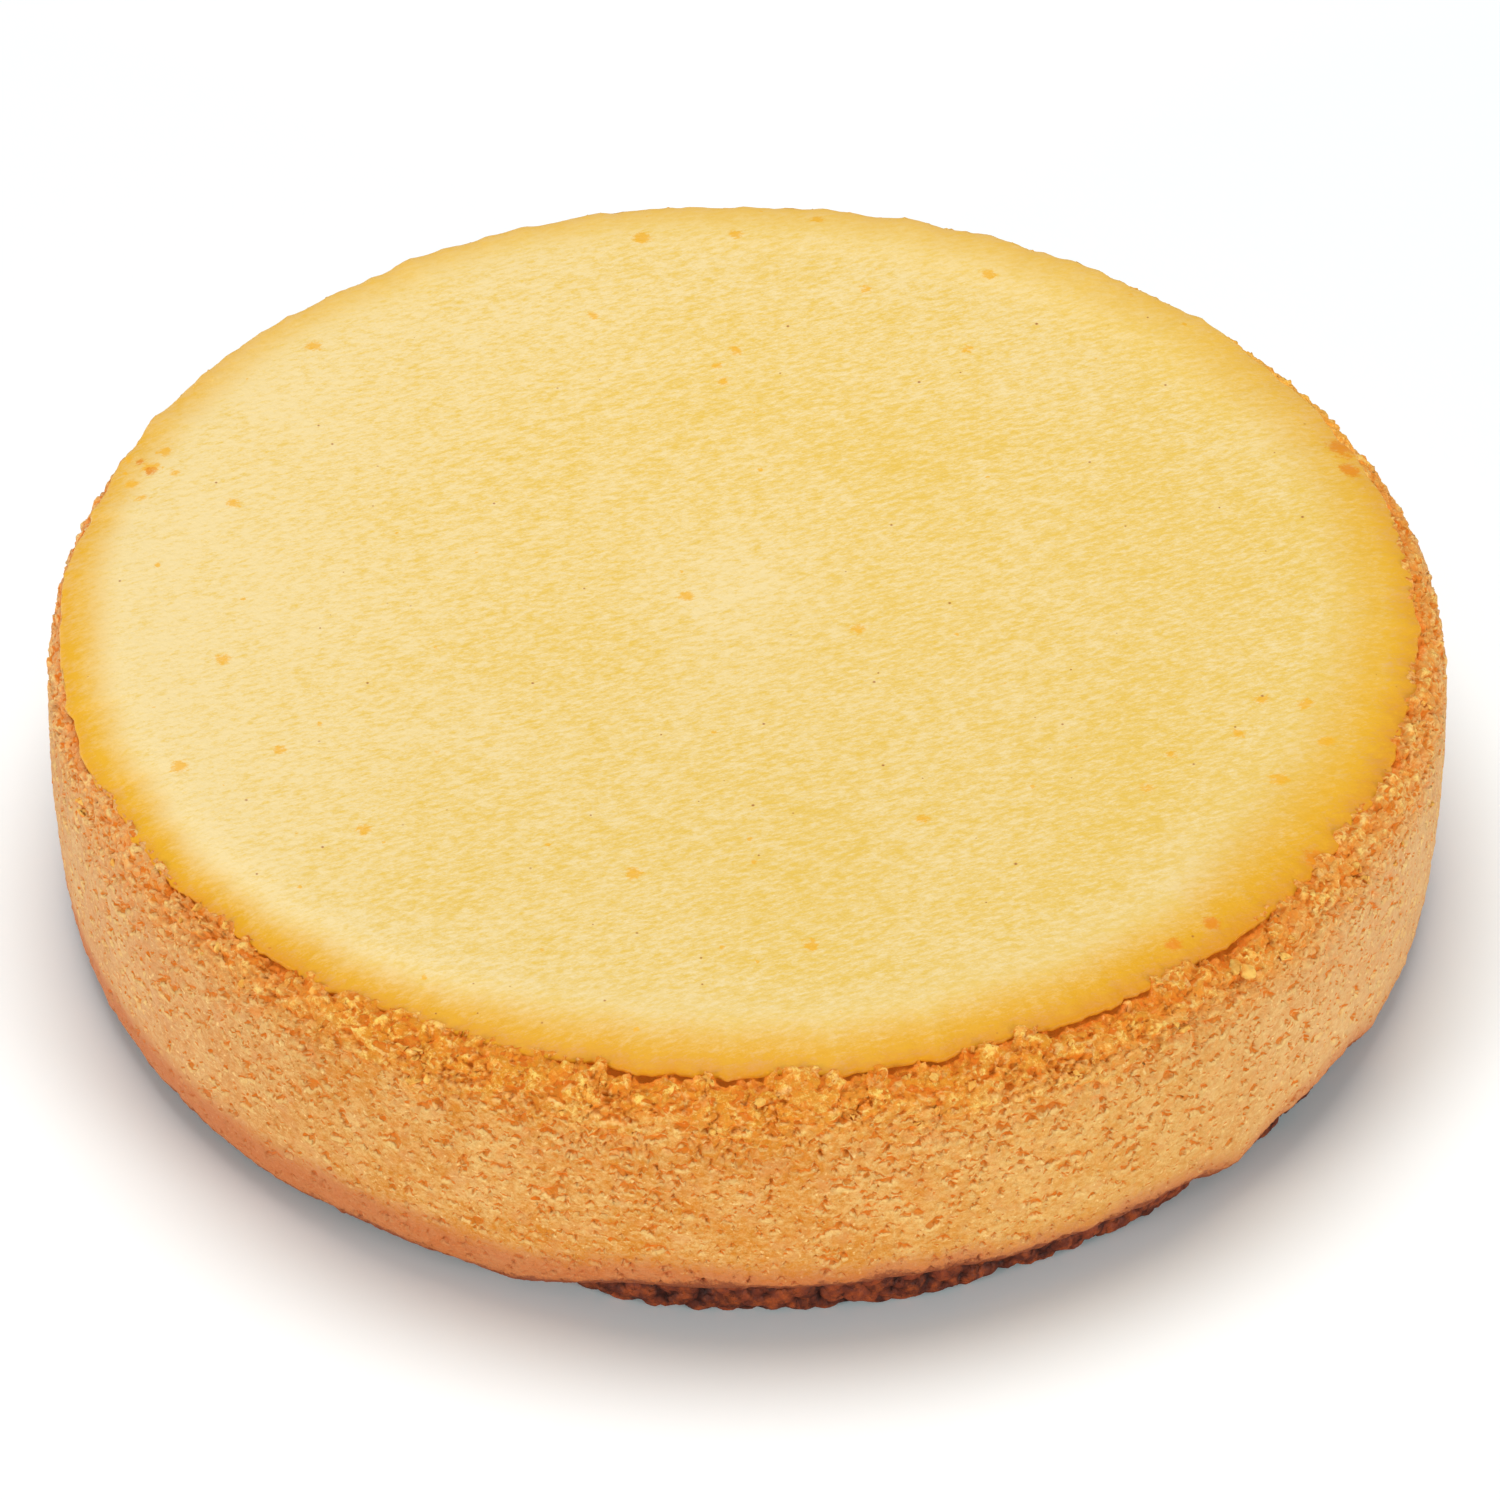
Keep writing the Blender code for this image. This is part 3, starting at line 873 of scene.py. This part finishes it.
def crumb_tree(material):
    """Scatters loose crumbs where the mesh's loose value asks for them."""
    tree, net = new_tree("Loose crumbs")
    numbers = add_numbers(tree, {
        "Crumbs per square metre": CRUMBS_PER_SQUARE_METRE,
        "Smallest": SMALLEST_CRUMB,
        "Largest": LARGEST_CRUMB,
    })
    given = net.node("NodeGroupInput")
    density = named(net, "loose") * given.out("Crumbs per square metre")
    inputs = {"Mesh": given.out("Geometry"), "Density": density, "Seed": PLACE_SEED}
    points = net.node("GeometryNodeDistributePointsOnFaces", {"distribute_method": "RANDOM"}, inputs)
    ball = net.node("GeometryNodeMeshIcoSphere", None, {"Radius": MM, "Subdivisions": 2})

    turn = random_vector(net, (-0.5, -0.5, 0.0), (0.5, 0.5, math.tau), TURN_SEED)
    inputs = {2: 0.0, 3: 1.0, "Seed": SIZE_SEED}
    pick = net.node("FunctionNodeRandomValue", {"data_type": "FLOAT"}, inputs, 1)
    smallest = given.out("Smallest")
    size = smallest + (given.out("Largest") - smallest) * pick ** 2.6
    stretch = random_vector(net, FLATTEST_CRUMB, LONGEST_CRUMB, STRETCH_SEED)
    scale = net.vector("SCALE", stretch)
    net.join(size, scale.socket.node.inputs["Scale"])
    inputs = {"Points": points, "Instance": ball, "Rotation": turn, "Scale": scale}
    placed = net.node("GeometryNodeInstanceOnPoints", None, inputs)
    realized = net.node("GeometryNodeRealizeInstances", None, {"Geometry": placed})

    place = net.vector("MULTIPLY", net.node("GeometryNodeInputPosition"), (1.0 / MM,) * 3)
    push = net.node("ShaderNodeTexNoise", None, {"Vector": place, "Scale": 1.1, "Detail": 2.0}, 1)
    centred = net.vector("SUBTRACT", push, (0.5, 0.5, 0.5))
    offset = net.vector("MULTIPLY", centred, (CRUMB_RAGGEDNESS * MM,) * 3)
    moved = net.node("GeometryNodeSetPosition", None, {"Geometry": realized, "Offset": offset})
    close_tree(net, net.node("GeometryNodeSetShadeSmooth", None, {"Geometry": moved}), material)
    return tree, numbers


def start_material(name, roughness, specular):
    material = bpy.data.materials.new(name)
    material.use_nodes = True
    net = Net(material.node_tree)
    shader = material.node_tree.nodes["Principled BSDF"]
    shader.inputs["Roughness"].default_value = roughness
    shader.inputs["Specular IOR Level"].default_value = specular
    return material, net, shader


def surface_place(net):
    return net.node("ShaderNodeAttribute", {"attribute_name": "rest"}, None, 1)


def surface_value(net, label):
    return net.node("ShaderNodeAttribute", {"attribute_name": label}, None, 2)


def add_bump(net, shader, height):
    """Height in millimetres."""
    bump = net.node("ShaderNodeBump", None, {"Strength": 1.0, "Distance": MM, "Height": height})
    net.join(bump, shader.inputs["Normal"])


def add_glow(net, shader, share, colour, strength):
    """A faint painted glow, standing in for light that would soak through the food."""
    net.join(net.blend(share, NO_GLOW, colour), shader.inputs["Emission Color"])
    shader.inputs["Emission Strength"].default_value = strength


def pale_skin(net, place, streaks, patches, broad):
    """The middle of the skin, streaked from cream to butter."""
    across, depth, _ = net.parts(place)
    sides = net.ease(across, -30.0, -100.0) * 0.3 + net.ease(depth, 40.0, 100.0) * 0.2
    tone = streaks * 1.9 + patches * 0.4 + broad * 0.35 + across * 0.002 - sides
    # Pale patches lighten the skin; the one at the right back is painted sheen
    tone = tone - surface_value(net, "pale") * 0.35
    return net.blend(net.ease(tone, -0.82, 0.75), CREAM, BUTTER)


def browned_rim(net, place, streaks, patches, broad, colour):
    """The golden band along the skin's edge, with a pale ring of painted sheen inside it
    in front and a browned edge."""
    across, depth, _ = net.parts(place)
    inside = surface_value(net, "inside")
    wander = inside + broad * 1.5 + patches * 2.0 + streaks * 3.5
    # Pale ring inside the golden band, strongest in front: painted sheen
    ring = net.ease(wander, 22.0, 15.0) * net.ease(wander, 9.0, 13.0) * net.ease(depth, 0.0, -90.0)
    colour = net.blend(ring * 0.15, colour, SHEEN_CREAM)
    # Deeper gold towards the front: painted shade against the stronger lamp light there
    front = net.ease(depth, -20.0, -85.0)
    golden = net.ease(wander, 14.0, 2.0) * (0.6 + 0.4 * net.ease(depth, 90.0, -60.0))
    mottled = 1.0 + streaks * 0.9 + patches * 0.4
    band = net.blend(front, GOLD, FRONT_GOLD_SHADE)
    colour = net.blend((golden * mottled).at_most(1.0), colour, band)
    behind = net.ease(depth, 30.0, 100.0) * net.ease(inside, 25.0, 6.0)
    colour = net.blend(behind * 0.35, colour, BACK_GOLD)
    browned = 0.2 + 0.5 * net.ease(across * 0.3 - depth, -50.0, 70.0)
    return net.blend(net.ease(wander, 4.5, -1.0) * browned, colour, EDGE_AMBER)


def spotted_skin(net, place, streaks, colour):
    """Yellow and brown spots with ragged edges, and dark specks of spice."""
    ragged = streaks * 0.5 + net.noise(place, 1.1, 3.0, 0.7) * 0.6
    small_spots = net.dents(net.stirred(place, 0.9, 0.35), 6.5, 0.45, 0.16)
    yellow = surface_value(net, "yellow").at_least(small_spots * 0.8)
    colour = net.blend(net.ease(yellow + ragged, 0.35, 0.8) * 0.75, colour, SPOT_YELLOW)
    brown = surface_value(net, "brown")
    colour = net.blend(net.ease(brown + ragged, 0.35, 0.8) * 0.75, colour, SPOT_BROWN)
    specks = net.dents(place, 5.0, 0.8, 0.085)
    return net.blend(specks * 0.8, colour, SPECK_BROWN)


def skin_material():
    material, net, shader = start_material("baked_skin_finish", 0.5, 0.18)
    place = surface_place(net)
    inputs = {"Vector": place, "Angle": STREAK_ANGLE}
    turned = net.node("ShaderNodeVectorRotate", {"rotation_type": "Z_AXIS"}, inputs)
    drawn_out = net.vector("MULTIPLY", turned, STREAK_STRETCH)
    streaks = net.noise(drawn_out, STREAK_SIZE, 3.0, 0.85)
    patches = net.noise(place, PATCH_SIZE)
    broad = net.noise(place, BROAD_SIZE)
    colour = pale_skin(net, place, streaks, patches, broad)
    colour = browned_rim(net, place, streaks, patches, broad, colour)
    colour = spotted_skin(net, place, streaks, colour)
    net.join(colour, shader.inputs["Base Color"])
    add_bump(net, shader, net.noise(place, 0.8) * 0.05)
    return material


def side_ground(net, place, crumbly, warm, grain):
    """Tan wall and golden crumbs, with painted sheen that makes them paler towards the left and right
    ends, and painted highlight on the crumbs' crests.
    """
    across, _, _ = net.parts(place)
    tone = grain * 0.75 + warm * 0.4 + 0.03
    tan = net.blend(net.ease(tone, -0.4, 0.35), TAN, DEEP_TAN)
    tan = net.blend(net.ease(net.noise(place, 4.5), 0.0, 0.5) * 0.45, tan, ROSY_TAN)
    # Painted highlight on the crumbs' crests, mixed with the grain's own tone
    crest_light_and_grain = net.ease(surface_value(net, "crest") * 0.9 - grain * 1.2, 0.0, 0.6)
    crumb_gold = net.blend(crest_light_and_grain, CRUMB_ORANGE_AND_SHADE, CRUMB_BUTTER_AND_HIGHLIGHT)
    colour = net.blend(crumbly * 0.85, tan, crumb_gold)
    right_side = net.ease(across, -10.0, 80.0) * (0.25 - crumbly * 0.2)
    colour = net.blend(right_side, colour, RIGHT_TAN)
    golden_right = crumbly * net.ease(across, -40.0, 60.0)
    # Painted sheen, paler towards the left and right ends
    end = net.ease(across.math("ABSOLUTE"), 55.0, 112.0) * (0.5 - golden_right * 0.35)
    return net.blend(end, colour, END_SHEEN_TAN)


def side_slopes(net, crumbly, colour):
    """Painted shade and highlight: what faces down more than the plain side does is
    darker, what faces up is paler. Returns the share that faces down too."""
    _, _, facing = net.parts(net.node("ShaderNodeNewGeometry", None, None, 1))
    tilt = facing - surface_value(net, "level")
    shade_below = net.ease(tilt, -0.08, -0.6)
    colour = net.blend(shade_below * 0.7, colour, UNDERSIDE_SHADE)
    lit = net.ease(tilt, 0.08, 0.55) * (0.38 - crumbly * 0.03)
    return net.blend(lit, colour, UPPER_SIDE_HIGHLIGHT), shade_below


def crevice_share(net, along, grain):
    """The torn crevice beside the skin, which takes painted shade, duller at the far left."""
    across, _, _ = net.parts(surface_place(net))
    far_left = net.ease(across, -60.0, -105.0)
    torn = 0.15 + surface_value(net, "torn") * 0.65
    return net.ease(along + grain * 2.0, 2.4, 0.2) * torn * (1.0 - far_left * 0.7)


def stained_foot(net, place, warm, grain, colour):
    """The wall's foot, stained by the dark base, highest at the front left."""
    across, depth, _ = net.parts(place)
    corner = net.ease(across, 20.0, -60.0) * net.ease(depth, 10.0, -50.0) * 5.0
    above = surface_value(net, "above") + warm * 3.0 + grain * 3.0 - corner
    colour = net.blend(net.ease(above, 6.0, 0.0) * 0.74, colour, STAIN)
    return net.blend(net.ease(above + corner, 0.8, -1.2) * 0.85, colour, FOOT_BROWN)


def body_material():
    material, net, shader = start_material("crumbly_side_finish", 0.7, 0.15)
    place = surface_place(net)
    along = surface_value(net, "along")
    crumbly = surface_value(net, "crumbly")
    _, depth, _ = net.parts(place)
    warm = net.noise(place, 10.0)
    grain = net.noise(flattened(net, place, 1.25), 1.3, 3.0, 0.85)
    colour = side_ground(net, place, crumbly, warm, grain)
    colour, shade_below = side_slopes(net, crumbly, colour)

    deep, shadowed_lip, lit_sill = wall_pits(net, place, along)
    # Painted shade in the pits, painted shadow under their upper lips, painted highlight on their lower
    # lips
    colour = net.blend(deep * 0.85, colour, PIT_SHADE)
    colour = net.blend(shadowed_lip * 0.95, colour, PIT_TOP_SHADOW)
    colour = net.blend(lit_sill * 0.4, colour, PIT_SILL_HIGHLIGHT)
    bits = net.chunks(flattened(net, net.stirred(place, 1.0, 0.4), 1.4), 1.25)
    # Painted shade in the gaps between small crumbs and in the cracks
    shaded_gaps = net.ease(bits, -0.05, -0.55)
    colour = net.blend(shaded_gaps * (0.16 + crumbly * 0.29), colour, GAP_SHADE)
    shaded_cracks = surface_value(net, "shaded_cracks")
    colour = net.blend(shaded_cracks * 0.55, colour, CRACK_SHADE)
    # Painted shade in the crevice under the skin's torn edge
    shaded_crevice = crevice_share(net, along, grain)
    colour = net.blend(shaded_crevice, colour, CREVICE_SHADE)
    back_rim = net.ease(along + grain * 3.0 + warm * 4.0, 10.0, 3.0)
    colour = net.blend(net.ease(depth, 25.0, 80.0) * back_rim * 0.85, colour, BACK_RIM)
    # Tiny pale flecks off the pits: painted highlights
    fleck_highlights = net.ease(net.noise(place, 0.9), 0.25, 0.5) * net.ease(deep, 0.4, 0.0)
    colour = net.blend(fleck_highlights * (0.5 - crumbly * 0.2), colour, FLECK_HIGHLIGHT)
    colour = stained_foot(net, place, warm, grain, colour)
    net.join(colour, shader.inputs["Base Color"])

    # Painted glow in the shaded lips, cracks, gaps and crevice
    between = (shade_below * 0.8).at_least(shaded_gaps * 0.5) * crumbly
    glow = (shadowed_lip * 0.7).at_least(shaded_cracks * 0.8).at_least(between).at_least(shaded_crevice * 1.6)
    glow = glow * net.ease(surface_value(net, "above"), 0.0, 6.0)
    add_glow(net, shader, glow, SIDE_GLOW, 0.17)
    add_bump(net, shader, grain * -0.17 + bits * (0.08 + crumbly * 0.18) - deep * 0.12)
    return material


def base_material():
    material, net, shader = start_material("pressed_crumb_finish", 0.6, 0.2)
    place = surface_place(net)
    wandering, big, small = base_patterns(net, place)
    _, lump_colour = net.cells(wandering, LUMP_SIZE)
    pick, _, _ = net.parts(lump_colour)
    colour = net.blend(pick, BASE_DARK, BASE_BROWN)
    # Painted highlight on the lumps' crests, painted shade in the cracks between them
    lump_highlight = net.ease(net.noise(place, 1.8, 3.0, 0.6) + big * 0.4, 0.1, 0.9)
    colour = net.blend(lump_highlight * 0.55, colour, BASE_CREST_HIGHLIGHT)
    shaded_cracks = 1.0 - net.ease(big * 0.6 + small * 0.4, 0.25, 0.8)
    colour = net.blend(shaded_cracks * 0.85, colour, BASE_CRACK_SHADE)
    net.join(colour, shader.inputs["Base Color"])
    add_bump(net, shader, small * 0.35 + net.noise(place, 0.5) * 0.1)
    return material


def crumb_material():
    material, net, shader = start_material("loose_crumb_finish", 0.65, 0.2)
    object_place = net.node("ShaderNodeTexCoord", None, None, 3)
    place = net.vector("MULTIPLY", object_place, (1.0 / MM,) * 3)
    mixed = net.ease(net.noise(place, 3.0) + net.noise(place, 0.7) * 0.6, -0.5, 0.5)
    colour = net.blend(mixed, LOOSE_GOLD, LOOSE_BUTTER)
    _, _, facing = net.parts(net.node("ShaderNodeNewGeometry", None, None, 1))
    # Painted shade on faces turned down
    shade_below = net.ease(facing, 0.35, -0.5)
    colour = net.blend(shade_below * 0.85, colour, LOOSE_UNDERSIDE_SHADE)
    net.join(colour, shader.inputs["Base Color"])
    # Painted glow on the crumbs' undersides
    add_glow(net, shader, shade_below, LOOSE_GLOW, 0.14)
    add_bump(net, shader, net.noise(place, 0.6) * 0.12)
    return material


def thin_out(piece, triangles):
    """Collapse the smoothest faces until this many triangles are left."""
    have = sum(len(face.vertices) - 2 for face in piece.data.polygons)
    if have <= triangles:
        return
    modifier = piece.modifiers.new("Thin", "DECIMATE")
    modifier.ratio = triangles / have
    evaluated = piece.evaluated_get(bpy.context.evaluated_depsgraph_get())
    thinned = bpy.data.meshes.new_from_object(evaluated)
    piece.modifiers.remove(modifier)
    piece.data = thinned


def read_places(mesh):
    places = np.empty(len(mesh.vertices) * 3, np.float32)
    mesh.vertices.foreach_get("co", places)
    return places.reshape(-1, 3)


def read_values(mesh, label):
    values = np.empty(len(mesh.vertices), np.float32)
    mesh.attributes[label].data.foreach_get("value", values)
    return values


def keep_inside(piece):
    """The odd lump that would stand outside the solids' box is pressed flat."""
    mesh = piece.data
    places = np.clip(read_places(mesh), cad_box[0], cad_box[1])
    mesh.vertices.foreach_set("co", places.astype(np.float32).ravel())
    mesh.update()


def dress(piece, slot_name, *nodes):
    keep_inside(piece)
    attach(piece, "root")
    if nodes:
        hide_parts(*nodes)


def add_loose_crumbs(body):
    """A few crumbs all along the torn shoulder, and most in the listed clusters."""
    mesh = body.data.copy()
    mesh.name = "crumb_ground"
    along = read_values(mesh, "along")
    craggy = read_values(mesh, "craggy")
    places = read_places(mesh) / MM
    shoulder = smooth_step(0.0, 1.5, along) * (1.0 - smooth_step(4.0, 12.0, along))
    loose = LOOSE_SHARE * shoulder * craggy ** 2
    for angle, height, size in CRUMB_CLUSTERS:
        turn = math.radians(angle)
        middle = np.array([math.cos(turn), math.sin(turn)]) * CLUSTER_RADIUS
        distance = np.hypot(*(places[:, :2] - middle).T) ** 2 + (places[:, 2] - height) ** 2
        near = np.exp(-distance / (CLUSTER_SPREAD * size) ** 2)
        loose = np.maximum(loose, near * smooth_step(0.0, 0.5, along))
    ground = mesh.attributes.new("loose", "FLOAT", "POINT")
    ground.data.foreach_set("value", loose.astype(np.float32))
    material = crumb_material()
    tree, numbers = crumb_tree(material)
    return grow("rim_crumbs", mesh, tree, numbers, material)


def add_floor():
    mesh = bpy.data.meshes.new("floor")
    corners = [(x * FLOOR_SIZE, y * FLOOR_SIZE, 0.0) for x, y in ((-1, -1), (1, -1), (1, 1), (-1, 1))]
    mesh.from_pydata(corners, [], [(0, 1, 2, 3)])
    floor = place_in_scene("floor", mesh)
    floor.location.z = -FLOOR_DROP
    material = bpy.data.materials.new("pale_floor")
    material.use_nodes = True
    shader = material.node_tree.nodes["Principled BSDF"]
    shader.inputs["Base Color"].default_value = FLOOR_GREY
    shader.inputs["Emission Color"].default_value = FLOOR_GLOW
    shader.inputs["Emission Strength"].default_value = FLOOR_GLOW_STRENGTH
    shader.inputs["Roughness"].default_value = 0.9
    mesh.materials.append(material)


def add_soft_light(name, place, width, depth, power):
    light = bpy.data.lights.new(name, "AREA")
    light.shape = "ELLIPSE"
    light.size = width
    light.size_y = depth
    light.energy = power
    holder = bpy.data.objects.new(name, light)
    holder.location = place
    toward = Vector(LIGHT_AIM) - Vector(place)
    holder.rotation_euler = toward.to_track_quat("-Z", "Y").to_euler()
    holder.visible_camera = False
    bpy.context.scene.collection.objects.link(holder)


def add_lights():
    world = bpy.data.worlds.new("studio")
    world.use_nodes = True
    background = world.node_tree.nodes["Background"]
    background.inputs["Color"].default_value = (1.0, 1.0, 1.0, 1.0)
    background.inputs["Strength"].default_value = WORLD_STRENGTH
    bpy.context.scene.world = world
    for name, place, width, depth, power in LIGHTS:
        add_soft_light(name, place, width, depth, power)


def add_camera():
    camera = bpy.data.cameras.new("camera")
    camera.lens = LENS
    camera.sensor_width = SENSOR
    holder = bpy.data.objects.new("camera", camera)
    back = Vector((0.0, -math.cos(CAMERA_ELEVATION), math.sin(CAMERA_ELEVATION)))
    holder.location = TARGET + back * CAMERA_DISTANCE
    holder.rotation_euler = (math.pi / 2 - CAMERA_ELEVATION, 0.0, 0.0)
    bpy.context.scene.collection.objects.link(holder)
    bpy.context.scene.camera = holder
    camera.clip_start = CLIP_START
    camera.clip_end = CLIP_END


def build():
    skin_finish = skin_material()
    skin_form = skin_mesh()
    skin_form.materials.append(skin_finish)
    skin = place_in_scene("baked_skin", skin_form)
    dress(skin, "baked_filling", "filling")

    side_finish = body_material()
    tree, numbers = body_tree(side_finish)
    body = grow("crumbly_body", body_mesh(), tree, numbers, side_finish)
    thin_out(body, BODY_TRIANGLES)
    dress(body, "baked_filling", "filling")

    dress(add_loose_crumbs(body), "baked_filling")

    base_finish = base_material()
    tree, numbers = base_tree(base_finish)
    base = grow("pressed_base", base_mesh(), tree, numbers, base_finish)
    dress(base, "crumb_base", "crumb_base")


build()
add_floor()
add_lights()
add_camera()
bpy.context.scene.view_settings.view_transform = "Standard"
